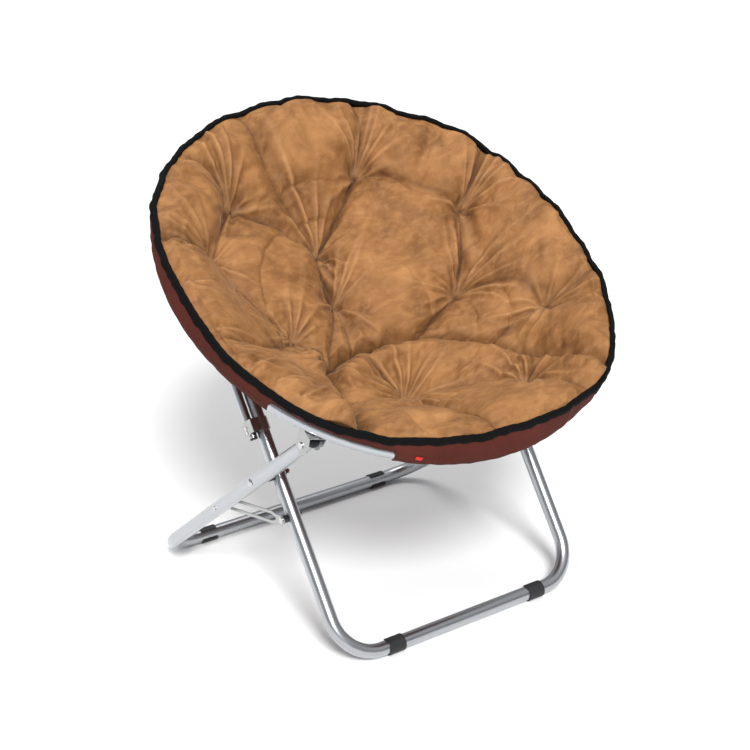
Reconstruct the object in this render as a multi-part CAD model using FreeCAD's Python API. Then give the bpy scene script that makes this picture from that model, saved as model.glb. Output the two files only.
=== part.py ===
import FreeCAD, Part
import os
from math import sin, cos, radians, degrees, sqrt, acos, atan2
from FreeCAD import Vector as V, Matrix, Placement, Rotation

# Folding saucer chair: a round tubular ring carries a quilted bowl seat, two
# U-shaped legs cross as a scissor, a pair of thin struts holds the rear of the
# ring, and slotted stays limit how far the legs open.
# Millimetres, +Z up, -Y is the front. Origin: floor, middle of the bounding box.

# ---------------------------------------------------------------- dimensions
RING_R = 400.0        # ring, centreline radius
RING_T = 11.0         # ring tube, outer radius
RING_W = 1.2          # ring tube wall
LEG_T = 12.5          # leg tube, outer radius
LEG_W = 1.2           # leg tube wall
STRUT_T = 7.0         # strut tube, outer radius
STRUT_W = 1.0
HALF_A = 255.5        # inner leg, half width to tube centre
HALF_B = 300.0        # outer leg, half width to tube centre
X_STRUT = 277.3       # strut, half width to tube centre
LEAN_A = 55.22        # inner leg, angle above the floor
FOOT_A_Y = -262.0     # inner leg foot bar (front)
PAD_WALL = 2.2        # rubber pad round the foot bars
PAD_SOLE = 1.9        # pad wall under the bar, where it is worn flat to stand on
BEND_R = 75.0         # leg bottom bend, centreline
S_P = 338.2           # foot bar to scissor bolt along the inner leg
P_C = 90.0            # scissor bolt to strut pivot along the inner leg
P_F = 209.0           # scissor bolt to front ring pivot along the outer leg
RING_DROP = 41.2      # ring plane to the pivots below it
TOP_A = 508.0         # inner leg tube length from the foot bar axis
TAIL_B = 14.0         # outer leg tube beyond the front ring pivot
S_A2 = 261.6          # foot bar to stay pin along the inner leg
T_B2 = 291.3          # foot bar to stay rivet along the outer leg
FIT = 0.05            # radial clearance of the pivots
SHEET = 1.5           # bracket sheet thickness

# ---------------------------------------------------------------- derived
H_AX = LEG_T + PAD_SOLE
v_f = sqrt(RING_R**2 - HALF_B**2)
v_r = sqrt(RING_R**2 - X_STRUT**2)
FR = v_f + v_r
STRUT_L = FR + P_C - P_F
cphi = (P_F**2 + (P_C + STRUT_L)**2 - FR**2) / (2 * P_F * (P_C + STRUT_L))
PHI = degrees(acos(cphi))
ANG_A = LEAN_A
ANG_B = LEAN_A + PHI


def d2(a):
    return V(0, cos(radians(a)), sin(radians(a)))


DA, DB = d2(ANG_A), d2(ANG_B)
A0 = V(0, FOOT_A_Y, H_AX)
P = A0 + DA * S_P
T_P = (P.z - H_AX) / sin(radians(ANG_B))   # foot bar to scissor bolt, outer leg
B0 = P - DB * T_P
F = P + DB * P_F
C = P + DA * P_C
R = C + DA * STRUT_L
TAU = degrees(atan2(R.z - F.z, R.y - F.y))
VV, NN = d2(TAU), d2(TAU + 90)
RC = F + VV * v_f + NN * RING_DROP
A2 = A0 + DA * S_A2
B2 = B0 + DB * T_B2
SHIFT = V(0, 38.28, 0)         # middle of the bounding box to y = 0


def frame_at(o, ang):
    return Placement(o + SHIFT, Rotation(V(1, 0, 0), ang))


FA, FB, FRING = frame_at(A0, ANG_A), frame_at(B0, ANG_B), frame_at(RC, TAU)
FF = frame_at(F, TAU)
FC = frame_at(C, ANG_A)
FS = frame_at(R, TAU)
ex = V(1, 0, 0)

os.makedirs("parts", exist_ok=True)
NAMES = []


def save(name, shape, place=None):
    s = shape.copy()
    if s.ShapeType == "Compound" and len(s.Solids) == 1:
        s = s.Solids[0]
    if place is not None:
        s.Placement = place.multiply(s.Placement)
    if len(s.Solids) != 1 or not s.isValid():
        print("CHECK", name, len(s.Solids), s.isValid())
    s.exportStep("parts/%s.step" % name)
    NAMES.append(name)


def cx(r, x0, x1, y=0.0, z=0.0):
    lo, hi = min(x0, x1), max(x0, x1)
    return Part.makeCylinder(r, hi - lo, V(lo, y, z), ex)


def cy(r, y0, y1, x=0.0, z=0.0):
    return Part.makeCylinder(r, y1 - y0, V(x, y0, z), V(0, 1, 0))


def u_tube(half, length, r, bend):
    """Solid bar bent as a U in the local XY plane, foot bar along X at y = 0."""
    k = bend
    legs = [cy(r, k, length, sx * half) for sx in (-1, 1)]
    bar = cx(r, -half + k, half - k)
    out = legs[0]
    for sx in (-1, 1):
        face = Part.Face(Part.Wire(Part.makeCircle(r, V(sx * half, k, 0), V(0, 1, 0))))
        out = out.fuse(face.revolve(V(sx * (half - k), k, 0), V(0, 0, 1), -90 * sx))
    out = out.fuse([legs[1], bar]).removeSplitter()
    return out


def plate_x(pts, x0, x1):
    """Plate between x0 and x1 with an outline given in local (y, z)."""
    w = Part.makePolygon([V(min(x0, x1), a, b) for a, b in pts + pts[:1]])
    return Part.Face(w).extrude(V(abs(x1 - x0), 0, 0))


def mirror(s):
    return s.mirror(V(0, 0, 0), ex)


def side_pair(base, shape, place):
    """shape is drawn on the left (-X); the right one is its mirror image."""
    save(base + "_left", shape, place)
    save(base + "_right", mirror(shape), place)


# ---------------------------------------------------------------- inner leg
leg = u_tube(HALF_A, TOP_A, LEG_T, BEND_R).cut(u_tube(HALF_A, TOP_A + 1, LEG_T - LEG_W, BEND_R))
for s, r in ((S_P, 4.0), (S_A2, 3.0)):
    leg = leg.cut(cx(r + FIT, -400, 400, s))
save("inner_leg_tube", leg, FA)

ri = LEG_T - LEG_W - 0.05
plug = cy(LEG_T - 0.2, TOP_A + 0.05, TOP_A + 3.0, -HALF_A)
plug = plug.makeFillet(1.6, [e for e in plug.Edges if abs(e.BoundBox.YMin - TOP_A - 3.0) < 0.01 and e.BoundBox.YLength < 0.1])
plug = plug.fuse(cy(ri, TOP_A - 14, TOP_A + 0.05, -HALF_A)).cut(cy(ri - 2, TOP_A - 15, TOP_A - 1, -HALF_A))
side_pair("inner_leg_plug", plug, FA)


def foot_pad(x, length, tilt, open_dir):
    """C-shaped clip round the foot bar. tilt turns the local frame so that the
    closed side faces down and outward."""
    ring = cx(LEG_T + PAD_WALL, x - length / 2, x + length / 2).cut(cx(LEG_T + 0.05, x - 60, x + 60))
    w = 8.5
    slot = Part.makeBox(length + 4, w * 2, 40, V(x - length / 2 - 2, -w, 0))
    slot.rotate(V(x, 0, 0), ex, open_dir)
    ring = ring.cut(slot)
    ring = ring.cut(Part.makeBox(length + 4, 60, 10, V(x - length / 2 - 2, -30, -(LEG_T + PAD_SOLE) - 10)))
    ring.rotate(V(x, 0, 0), ex, -tilt)
    return ring


side_pair("front_pad", foot_pad(-155.5, 33.0, ANG_A, -70.0), FA)

# ---------------------------------------------------------------- strut collar
CW = 2.0
collar = cy(LEG_T + CW, S_P + P_C - 11.5, S_P + P_C + 11.5, -HALF_A).cut(
    cy(LEG_T + 0.02, 0, 600, -HALF_A))
xo1 = -(X_STRUT + STRUT_T + 0.2)
xo0 = xo1 - SHEET
sc = S_P + P_C
ARM = STRUT_T + 16.2      # room for the strut's tail to swing inside the channel
ear = plate_x([(sc - 15.0, 0.0), (sc - 14.4, 4.6), (sc - 12.8, 8.4), (sc - 11.5, 10.0), (sc - 11.5, ARM + SHEET),
               (sc + 11.5, ARM + SHEET), (sc + 11.5, -4.0), (sc + 9.0, -9.0), (sc - 6.0, -9.6), (sc - 10.2, -8.6),
               (sc - 13.2, -6.0), (sc - 14.7, -3.0)], xo0, xo1)
# channel: inner tab beside the sleeve, flange in front, outer ear
xt0 = -(X_STRUT - STRUT_T) + 0.25
tab = plate_x([(sc - 11.5, 0), (sc + 11.5, 0), (sc + 11.5, ARM + SHEET), (sc - 11.5, ARM + SHEET)], xt0, xt0 + SHEET)
fl = Part.makeBox(xt0 + SHEET - xo0, 23.0, SHEET, V(xo0, sc - 11.5, ARM))
body = collar.fuse([fl, ear, tab]).cut(cy(LEG_T + 0.02, 0, 600, -HALF_A)).removeSplitter()
body = body.cut(cx(2.5 + FIT, -300, -267, sc)).cut(cx(2.0 + FIT, -300, -280, sc - 7.7))
side_pair("strut_collar", body, FA)

# strut pivot: rivet through the ear, the strut and the sleeve wall
pv = cx(2.5, xo0 - 0.05, -(X_STRUT - STRUT_T) + 0.15, sc).fuse(cx(4.0, xo0 - 0.95, xo0 - 0.05, sc))
side_pair("strut_pivot_rivet", pv, FA)
fx = cx(2.0, xo1 - 0.1, xo0 - 0.05, sc - 7.7).fuse(cx(3.2, xo0 - 0.9, xo0 - 0.05, sc - 7.7)).removeSplitter()
side_pair("collar_ear_rivet", fx, FA)

# ---------------------------------------------------------------- struts
st = cy(STRUT_T, -19.0, STRUT_L + 9.0, -X_STRUT).cut(cy(STRUT_T - STRUT_W, -20, STRUT_L + 20, -X_STRUT))
for s in (0.0, STRUT_L):
    st = st.cut(cx(2.5 + FIT, -320, -240, s))
side_pair("strut_tube", st, FC)
for base, y0, sg in (("strut_lower_plug", -19.0, -1), ("strut_upper_plug", STRUT_L + 9.0, 1)):
    a, b = sorted((y0 + sg * 0.05, y0 + sg * 2.6))
    c, d = sorted((y0 - sg * 7.5, y0 + sg * 0.05)) if sg > 0 else sorted((y0 + 7.5, y0 - 0.05))
    if sg > 0:
        d = y0 + 0.05
        c = y0 - 5.5
    pl = cy(STRUT_T - 0.1, a, b, -X_STRUT).fuse(cy(STRUT_T - STRUT_W - 0.05, c, d, -X_STRUT))
    side_pair(base, pl, FC)

# ---------------------------------------------------------------- outer leg
LEN_B = T_P + P_F + TAIL_B
leg = u_tube(HALF_B, LEN_B, LEG_T, BEND_R).cut(u_tube(HALF_B, LEN_B + 1, LEG_T - LEG_W, BEND_R))
leg = leg.cut(cx(4.0 + FIT, -400, 400, T_P)).cut(cx(2.5 + FIT, -400, 400, T_B2))
leg = leg.cut(cx(3.0 + FIT, -400, 400, T_P + P_F))
save("outer_leg_tube", leg, FB)
plug = cy(LEG_T - 0.2, LEN_B + 0.05, LEN_B + 3.0, -HALF_B)
plug = plug.makeFillet(1.6, [e for e in plug.Edges if abs(e.BoundBox.YMin - LEN_B - 3.0) < 0.01 and e.BoundBox.YLength < 0.1])
plug = plug.fuse(cy(ri, LEN_B - 12, LEN_B + 0.05, -HALF_B)).cut(cy(ri - 2, LEN_B - 13, LEN_B - 1, -HALF_B))
side_pair("outer_leg_plug", plug, FB)
side_pair("rear_pad", foot_pad(-200.9, 33.0, ANG_B, 70.0), FB)

# ---------------------------------------------------------------- scissor bolt
sx0 = -(HALF_B + LEG_T)
bolt = cx(4.0, sx0 - 0.4, -HALF_A + LEG_T + 6.0, S_P)
dome = Part.makeSphere(11.0, V(sx0 - 0.4 + 8.6, S_P, 0)).common(cx(8.0, sx0 - 6, sx0 - 0.4, S_P))
bolt = bolt.fuse(dome).removeSplitter()
side_pair("scissor_bolt", bolt, FA)
nx0 = -HALF_A + LEG_T + 0.1
nut = Part.Face(Part.makePolygon([V(nx0, S_P + 7.2 * cos(radians(60 * i)), 7.2 * sin(radians(60 * i))) for i in range(7)])).extrude(V(4.6, 0, 0))
nut = nut.fuse(Part.makeSphere(6.2, V(nx0 + 4.0, S_P, 0)).common(cx(6.2, nx0 + 4.0, nx0 + 11, S_P)))
nut = nut.cut(cx(4.0 + 0.02, nx0 - 1, -HALF_A + LEG_T + 6.1, S_P))
side_pair("scissor_cap_nut", nut, FA)
gap0, gap1 = -(HALF_B - LEG_T), -(HALF_A + LEG_T)
spac = cx(8.0, gap0 + 0.3, gap1 - 0.1, S_P).cut(cx(4.0 + FIT, -320, -240, S_P))
side_pair("scissor_spacer", spac, FA)

# ---------------------------------------------------------------- stays
xs1 = gap1 - 10.0             # inner face of the stay plate
xs0 = xs1 - 2.0
spac = cx(6.5, xs1 + 0.15, gap1 - 0.1, S_A2).cut(cx(3.0 + FIT, -320, -240, S_A2))
side_pair("stay_spacer", spac, FA)
pin = cx(3.0, xs0 - 0.2, -HALF_A + LEG_T + 2.0, S_A2)
pin = pin.fuse(cx(5.5, xs0 - 1.8, xs0 - 0.2, S_A2)).fuse(cx(5.0, -HALF_A + LEG_T + 0.1, -HALF_A + LEG_T + 2.2, S_A2))
side_pair("stay_pin", pin.removeSplitter(), FA)

dv = B2 - A2
STAY_L = dv.Length
ANG_S = degrees(atan2(dv.z, dv.y))
FST = frame_at(A2, ANG_S)
w = 11.5                       # half width of the stay
w0 = 8.0
end = STAY_L + 9.0
o = plate_x([(0, -w0), (16, -w0), (30, -w), (end - 8, -w), (end, -w + 8), (end, w - 8), (end - 8, w), (30, w), (16, w0), (0, w0)], xs0, xs1)
o = o.fuse(cx(w0, xs0, xs1, 0)).removeSplitter()
slot = plate_x([(19, -2.4), (32, -w + 5.2), (STAY_L - 4, -w + 5.2), (STAY_L + 1, -4), (STAY_L + 1, 4), (STAY_L - 4, w - 5.2), (32, w - 5.2), (19, 2.4)], xs0 - 1, xs1 + 1)
o = o.cut(slot).cut(cx(3.0 + FIT, -320, -240, 0))
side_pair("stay", o, FST)
rv = cx(2.5, -(HALF_B + LEG_T) - 0.05, -(HALF_B - LEG_T) + 1.4, T_B2)
rv = rv.fuse(cx(4.2, -(HALF_B + LEG_T) - 1.5, -(HALF_B + LEG_T) - 0.05, T_B2)).fuse(cx(5.0, -(HALF_B - LEG_T) + 0.1, -(HALF_B - LEG_T) + 1.4, T_B2))
side_pair("stay_rivet", rv.removeSplitter(), FB)

# ---------------------------------------------------------------- seat ring
def ring_arc(r, R0, a0, a1, n=0.0, rr=None):
    f = Part.Face(Part.Wire(Part.makeCircle(r, V(R0 * cos(radians(a0)), R0 * sin(radians(a0)), n), V(-sin(radians(a0)), cos(radians(a0)), 0))))
    return f.revolve(V(0, 0, 0), V(0, 0, 1), a1 - a0)


SEAM = 0.06
for nm, a0, a1 in (("ring_tube_rear", SEAM, 180 - SEAM), ("ring_tube_front", 180 + SEAM, 360 - SEAM)):
    t = ring_arc(RING_T, RING_R, a0, a1).cut(ring_arc(RING_T - RING_W, RING_R, a0 - 1, a1 + 1))
    save(nm, t, FRING)
for nm, a in (("ring_joiner_left", 180.0), ("ring_joiner_right", 0.0)):
    t = ring_arc(RING_T - RING_W - 0.05, RING_R, a - 8, a + 8).cut(ring_arc(RING_T - RING_W - 1.3, RING_R, a - 9, a + 9))
    save(nm, t, FRING)

torus = Part.makeTorus(RING_R, RING_T + 0.03)

# front brackets: two ears either side of the outer leg, a saddle under the ring
yF, nF = -v_f, -RING_DROP
top = -8.0
for_x = [(-(HALF_B + LEG_T) - 0.3 - SHEET, -(HALF_B + LEG_T) - 0.3), (-(HALF_B - LEG_T) + 0.3, -(HALF_B - LEG_T) + 0.3 + SHEET)]


def ear_pts(cyy, top_n, half_top, rr, low):
    pts = [(cyy - half_top, top_n), (cyy - rr, low)]
    for k in range(0, 13):
        a = radians(180 + 15 * k)
        pts.append((cyy + rr * cos(a), low + rr * sin(a)))
    pts += [(cyy + half_top, top_n)]
    out = []
    for p in pts:
        if not out or abs(p[0] - out[-1][0]) + abs(p[1] - out[-1][1]) > 1e-6:
            out.append(p)
    return out


SKEW = (for_x[1][1] - for_x[0][0]) * 0.31     # the bracket follows the ring's curve


def low_arc(cyy, low, rr, a0, a1, n=10):
    return [(cyy + rr * cos(radians(a0 + (a1 - a0) * k / n)), low + rr * sin(radians(a0 + (a1 - a0) * k / n))) for k in range(n + 1)]


br = None
for (x0, x1), f, rise in ((for_x[0], 0.0, 8.0), (for_x[1], SKEW, -16.0)):
    pts = low_arc(yF, nF, 15.2, 160.0, 355.0)
    pts += [(yF + 18.5 - f, -11.5), (yF + 18.5 - f, -7.0)]
    if f == 0.0:
        pts += [(yF + rise, -7.0), (yF + rise - 2.2, -11.0), (yF - 9.6, -11.0), (yF - 17.0, -33.0)]
    else:
        pts += [(yF - 9.6 - f, -7.0), (yF - 9.6 - f, -33.0)]
    e = plate_x(pts, x0, x1)
    br = e if br is None else br.fuse(e)
xa, xb = for_x[0][0], for_x[1][1]
sad = Part.Face(Part.makePolygon([V(xa, yF - 9.6, -RING_T - SHEET), V(xb, yF - 9.6 - SKEW, -RING_T - SHEET), V(xb, yF + 18.5 - SKEW, -RING_T - SHEET),
                                  V(xa, yF + 18.5, -RING_T - SHEET), V(xa, yF - 9.6, -RING_T - SHEET)])).extrude(V(0, 0, SHEET))
br = br.fuse(sad).cut(torus).removeSplitter()
br = sorted(br.Solids, key=lambda q: q.Volume)[-1]
br = br.cut(cx(3.0 + FIT, -330, -270, yF, nF))
side_pair("front_bracket", br, FRING)
for nm, (x0, x1), sg in (("front_pivot_rivet_outer", for_x[0], -1), ("front_pivot_rivet_inner", for_x[1], 1)):
    a = x0 + 0.1 if sg < 0 else x1 - 0.1
    face = x0 if sg < 0 else x1
    inner = x1 - 0.1 if sg < 0 else x0 + 0.1
    rv = cx(3.0, inner, face + sg * 1.6, yF, nF).fuse(cx(5.5, face + sg * 0.05, face + sg * 2.2, yF, nF))
    side_pair(nm, rv.removeSplitter(), FRING)

# rear brackets: two ears either side of the strut end
yR = v_r
rx = [(-(X_STRUT + STRUT_T) - 0.3 - SHEET, -(X_STRUT + STRUT_T) - 0.3), (-(X_STRUT - STRUT_T) + 0.3, -(X_STRUT - STRUT_T) + 0.3 + SHEET)]
br = None
for x0, x1 in rx:
    e = plate_x(ear_pts(yR, top, 18.0, 9.0, nF + 1.0), x0, x1)
    br = e if br is None else br.fuse(e)
sad = Part.makeBox(rx[1][1] - rx[0][0], 36.0, SHEET, V(rx[0][0], yR - 18.0, -RING_T - SHEET))
br = br.fuse(sad).cut(torus).removeSplitter()
br = sorted(br.Solids, key=lambda q: q.Volume)[-1]
br = br.cut(cx(2.5 + FIT, -330, -240, yR, nF))
side_pair("rear_bracket", br, FRING)
pn = cx(2.5, rx[0][0] - 0.2, rx[1][1] + 0.2, yR, nF)
pn = pn.fuse(cx(4.5, rx[0][0] - 1.9, rx[0][0] - 0.1, yR, nF)).fuse(cx(4.5, rx[1][1] + 0.1, rx[1][1] + 1.9, yR, nF))
side_pair("rear_pivot_pin", pn.removeSplitter(), FRING)

# ---------------------------------------------------------------- fabric sleeves
sl_o, sl_i = RING_T + 1.6, RING_T + 0.3
fs = ring_arc(sl_o, RING_R, -119.8, -60.2).cut(ring_arc(sl_i, RING_R, -121, -59))
save("ring_sleeve_front", fs, FRING)
rs = ring_arc(sl_o, RING_R, -29.7, 209.7).cut(ring_arc(sl_i, RING_R, -31, 211))
for sg in (-1, 1):
    rs = rs.cut(Part.makeBox(26.0, 46.0, 40.0, V(sg * X_STRUT - 13.0, yR - 23.0, -42.0)))
rs = sorted(rs.Solids, key=lambda q: q.Volume)[-1]
save("ring_sleeve_rear", rs, FRING)


# ---------------------------------------------------------------- bowl seat
def spun(top_pts, low_pts):
    """Body of revolution about local Z from two (radius, height) curves."""
    a = Part.BSplineCurve()
    a.interpolate([V(r, 0, z) for r, z in top_pts])
    b = Part.BSplineCurve()
    b.interpolate([V(r, 0, z) for r, z in low_pts])
    ta, tb = V(*([top_pts[0][0], 0, top_pts[0][1]])), V(*([low_pts[0][0], 0, low_pts[0][1]]))
    ea, eb = V(*([top_pts[-1][0], 0, top_pts[-1][1]])), V(*([low_pts[-1][0], 0, low_pts[-1][1]]))
    w = Part.Wire([a.toShape(), Part.makeLine(ea, eb), b.toShape().reversed(), Part.makeLine(tb, ta)])
    return Part.Face(w).revolve(V(0, 0, 0), V(0, 0, 1), 360)


top = [(0, -128), (60, -126), (130, -116), (200, -96), (260, -66), (310, -31), (350, 1), (380, 22), (397, 28)]
low = [(0, -192), (70, -188), (150, -172), (230, -142), (300, -100), (350, -53), (378, -13), (385.5, 3), (396, 16.5)]
cushion = spun(top, low)
ic = [(0, -180), (150, -160), (300, -88), (350, -43), (378, -6)]
lc = [(0, -194), (70, -190.1), (150, -174.2), (230, -144.4), (300, -102.6), (351.5, -54.8), (380.0, -13.6)]
cover = spun(ic, lc).cut(cushion)
cover = sorted(cover.Solids, key=lambda q: q.Volume)[-1]
# pockets where the brackets and struts pass, with a few millimetres of room
for sg in (-1, 1):
    pocket = Part.makeBox(34.0, 56.0, 60.0, V(sg * HALF_B - 17.0, yF - 28.0, -60.0 + 1.0))
    pocket = pocket.fuse(Part.makeBox(26.0, 46.0, 60.0, V(sg * X_STRUT - 13.0, yR - 23.0, -60.0 + 1.0)))
    rod = Part.makeCylinder(STRUT_T + 3.0, 260.0, V(sg * X_STRUT, yR + 20 * cos(radians(TAU - ANG_A)), nF - 20 * sin(radians(TAU - ANG_A))), V(0, -cos(radians(ANG_A - TAU)), -sin(radians(ANG_A - TAU))))
    cushion, cover = cushion.cut(pocket).cut(rod), cover.cut(pocket).cut(rod)
cushion = sorted(cushion.Solids, key=lambda q: q.Volume)[-1]
cover = sorted(cover.Solids, key=lambda q: q.Volume)[-1]
save("seat_cushion", cushion, FRING)
save("seat_cover", cover, FRING)
save("edge_binding", Part.makeTorus(403.3, 4.8, V(0, 0, 23.5)).cut(spun(top, low)), FRING)

# plain tag on the front of the sleeve
ta = radians(-113.0)
tag = Part.makeBox(14.0, 0.8, 9.0, V(-7.0, -0.4, -4.5))
tag.Placement = Placement(V((RING_R + sl_o + 0.6) * cos(ta), (RING_R + sl_o + 0.6) * sin(ta), 1.0), Rotation(V(0, 0, 1), -113.0 + 90.0))
save("tag", tag, FRING)

# ---------------------------------------------------------------- figures
print("nodes", len(NAMES))
for nm, q in (("A0", A0), ("B0", B0), ("P", P), ("F", F), ("C", C), ("R", R), ("RC", RC), ("A2", A2), ("B2", B2)):
    q = q + SHIFT
    print("PT", nm, round(q.x, 3), round(q.y, 3), round(q.z, 3))
print("ANG A %.3f B %.3f TAU %.3f PHI %.3f STAY %.3f len %.2f STRUT_L %.3f" % (ANG_A, ANG_B, TAU, PHI, ANG_S, STAY_L, STRUT_L))
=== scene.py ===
import bpy, bmesh, math
import numpy as np
from mathutils import Vector, Matrix, noise

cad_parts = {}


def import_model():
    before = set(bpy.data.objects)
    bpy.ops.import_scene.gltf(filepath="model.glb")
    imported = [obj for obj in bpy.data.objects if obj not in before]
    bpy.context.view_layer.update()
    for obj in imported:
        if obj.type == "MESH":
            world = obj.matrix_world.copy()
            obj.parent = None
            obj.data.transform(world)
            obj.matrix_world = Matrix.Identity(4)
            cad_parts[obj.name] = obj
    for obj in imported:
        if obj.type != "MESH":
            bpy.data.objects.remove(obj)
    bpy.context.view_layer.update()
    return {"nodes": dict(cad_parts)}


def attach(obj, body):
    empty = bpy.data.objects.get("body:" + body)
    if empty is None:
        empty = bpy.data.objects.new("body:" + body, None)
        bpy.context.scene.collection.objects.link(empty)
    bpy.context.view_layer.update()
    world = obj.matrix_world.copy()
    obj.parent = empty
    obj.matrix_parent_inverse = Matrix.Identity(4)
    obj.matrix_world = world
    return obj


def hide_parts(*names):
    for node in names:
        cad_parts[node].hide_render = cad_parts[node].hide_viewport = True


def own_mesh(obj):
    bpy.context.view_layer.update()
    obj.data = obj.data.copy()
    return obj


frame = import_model()
N = frame["nodes"]
SC = bpy.context.scene
MM = 0.001

# ------------------------------------------------------------------ seat frame
# The ring's plane: origin at its centre, v runs to the rear and up, n is its normal.
RC = np.array([0.0, 3.906, 599.781])
TAU = math.radians(33.046)
VV = np.array([0.0, math.cos(TAU), math.sin(TAU)])
NN = np.array([0.0, -math.sin(TAU), math.cos(TAU)])


def world(x, v, n):
    """Seat coordinates in mm to the row frame in metres. Arrays are fine."""
    x, v, n = np.broadcast_arrays(np.asarray(x, float), np.asarray(v, float), np.asarray(n, float))
    return (np.stack([x, RC[1] + v * VV[1] + n * NN[1], RC[2] + v * VV[2] + n * NN[2]], -1)) * MM


# ------------------------------------------------------------------ camera
def camera():
    az, el, roll = [math.radians(a) for a in (35.515, 22.095, -0.689)]
    back = Vector((-math.sin(az) * math.cos(el), -math.cos(az) * math.cos(el), math.sin(el)))
    right = (-back).cross(Vector((0, 0, 1))).normalized()
    up = right.cross(-back)
    r2 = right * math.cos(roll) + up * math.sin(roll)
    u2 = -right * math.sin(roll) + up * math.cos(roll)
    m = Matrix((r2, u2, back)).transposed().to_4x4()
    m.translation = Vector((1.61, 42.977, 387.162)) * MM + back * 3.103952
    cam = bpy.data.cameras.new("camera")
    cam.sensor_width, cam.lens = 36.0, 1728.753 * 36.0 / 750.0
    cam.clip_start, cam.clip_end = 0.05, 100
    o = bpy.data.objects.new("camera", cam)
    SC.collection.objects.link(o)
    o.matrix_world = m
    SC.camera = o


camera()


# ------------------------------------------------------------------ node helpers
def new_mat(name):
    m = bpy.data.materials.new(name)
    m.use_nodes = True
    nt = m.node_tree
    bsdf = nt.nodes["Principled BSDF"]
    return m, nt, bsdf


def nd(nt, kind, **kw):
    n = nt.nodes.new(kind)
    for k, v in kw.items():
        if k.startswith("i_"):
            n.inputs[k[2:].replace("_", " ")].default_value = v
        elif isinstance(k, str) and hasattr(n, k):
            setattr(n, k, v)
    return n


def link(nt, a, b):
    nt.links.new(a, b)


def ramp(nt, fac, stops, interp="LINEAR"):
    r = nt.nodes.new("ShaderNodeValToRGB")
    r.color_ramp.interpolation = interp
    while len(r.color_ramp.elements) > 1:
        r.color_ramp.elements.remove(r.color_ramp.elements[0])
    r.color_ramp.elements[0].position = stops[0][0]
    r.color_ramp.elements[0].color = (*stops[0][1], 1)
    for p, c in stops[1:]:
        e = r.color_ramp.elements.new(p)
        e.color = (*c, 1)
    link(nt, fac, r.inputs["Fac"])
    return r


def tex_noise(nt, vec, scale, detail=4.0, rough=0.55, dist=0.0):
    t = nt.nodes.new("ShaderNodeTexNoise")
    t.inputs["Scale"].default_value = scale
    t.inputs["Detail"].default_value = detail
    t.inputs["Roughness"].default_value = rough
    t.inputs["Distortion"].default_value = dist
    if vec is not None:
        link(nt, vec, t.inputs["Vector"])
    return t


def obj_coord(nt):
    return nt.nodes.new("ShaderNodeTexCoord").outputs["Object"]


def mapping(nt, vec, scale=(1, 1, 1), rot=(0, 0, 0)):
    m = nt.nodes.new("ShaderNodeMapping")
    m.inputs["Scale"].default_value = scale
    m.inputs["Rotation"].default_value = rot
    link(nt, vec, m.inputs["Vector"])
    return m.outputs["Vector"]


def math_node(nt, op, a, b=None, clamp=False):
    m = nt.nodes.new("ShaderNodeMath")
    m.operation = op
    m.use_clamp = clamp
    for i, s in enumerate((a, b)):
        if s is None:
            continue
        if isinstance(s, (int, float)):
            m.inputs[i].default_value = s
        else:
            link(nt, s, m.inputs[i])
    return m.outputs[0]


def bump(nt, height, strength, dist, normal=None):
    b = nt.nodes.new("ShaderNodeBump")
    b.inputs["Strength"].default_value = strength
    b.inputs["Distance"].default_value = dist
    link(nt, height, b.inputs["Height"])
    if normal is not None:
        link(nt, normal, b.inputs["Normal"])
    return b.outputs["Normal"]


def mix_col(nt, fac, a, b, mode="MIX"):
    m = nt.nodes.new("ShaderNodeMix")
    m.data_type = "RGBA"
    m.blend_type = mode
    if isinstance(fac, (int, float)):
        m.inputs[0].default_value = fac
    else:
        link(nt, fac, m.inputs[0])
    for i, s in ((6, a), (7, b)):
        if isinstance(s, tuple):
            m.inputs[i].default_value = (*s, 1)
        else:
            link(nt, s, m.inputs[i])
    return m.outputs[2]


# ------------------------------------------------------------------ metals, rubber, plastic
def metal(name, base, dark, rough_lo, rough_hi, grain=260.0, strength=0.12, metallic=1.0, coat=0.0):
    m, nt, b = new_mat(name)
    oc = obj_coord(nt)
    big = tex_noise(nt, oc, 9.0, 3.0)
    fine = tex_noise(nt, oc, grain, 3.0, 0.6)
    col = mix_col(nt, math_node(nt, "MULTIPLY", big.outputs["Fac"], 0.55), base, dark)
    link(nt, col, b.inputs["Base Color"])
    mr = nt.nodes.new("ShaderNodeMapRange")
    mr.inputs["To Min"].default_value = rough_lo
    mr.inputs["To Max"].default_value = rough_hi
    link(nt, tex_noise(nt, oc, 14.0, 3.0, 0.5).outputs["Fac"], mr.inputs["Value"])
    link(nt, mr.outputs[0], b.inputs["Roughness"])
    b.inputs["Metallic"].default_value = metallic
    b.inputs["Coat Weight"].default_value = coat
    b.inputs["Coat Roughness"].default_value = 0.12
    link(nt, bump(nt, fine.outputs["Fac"], strength, 0.0002), b.inputs["Normal"])
    return m


M_TUBE = metal("silver_tube", (0.50, 0.515, 0.535), (0.44, 0.455, 0.48), 0.27, 0.33, 900.0, 0.03, 1.0, 0.1)
M_ZINC = metal("zinc_sheet", (0.47, 0.475, 0.465), (0.36, 0.37, 0.36), 0.30, 0.44, 500.0, 0.08)
M_BOLT = metal("bright_fastener", (0.62, 0.62, 0.62), (0.50, 0.50, 0.50), 0.18, 0.30, 700.0, 0.05)


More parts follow.
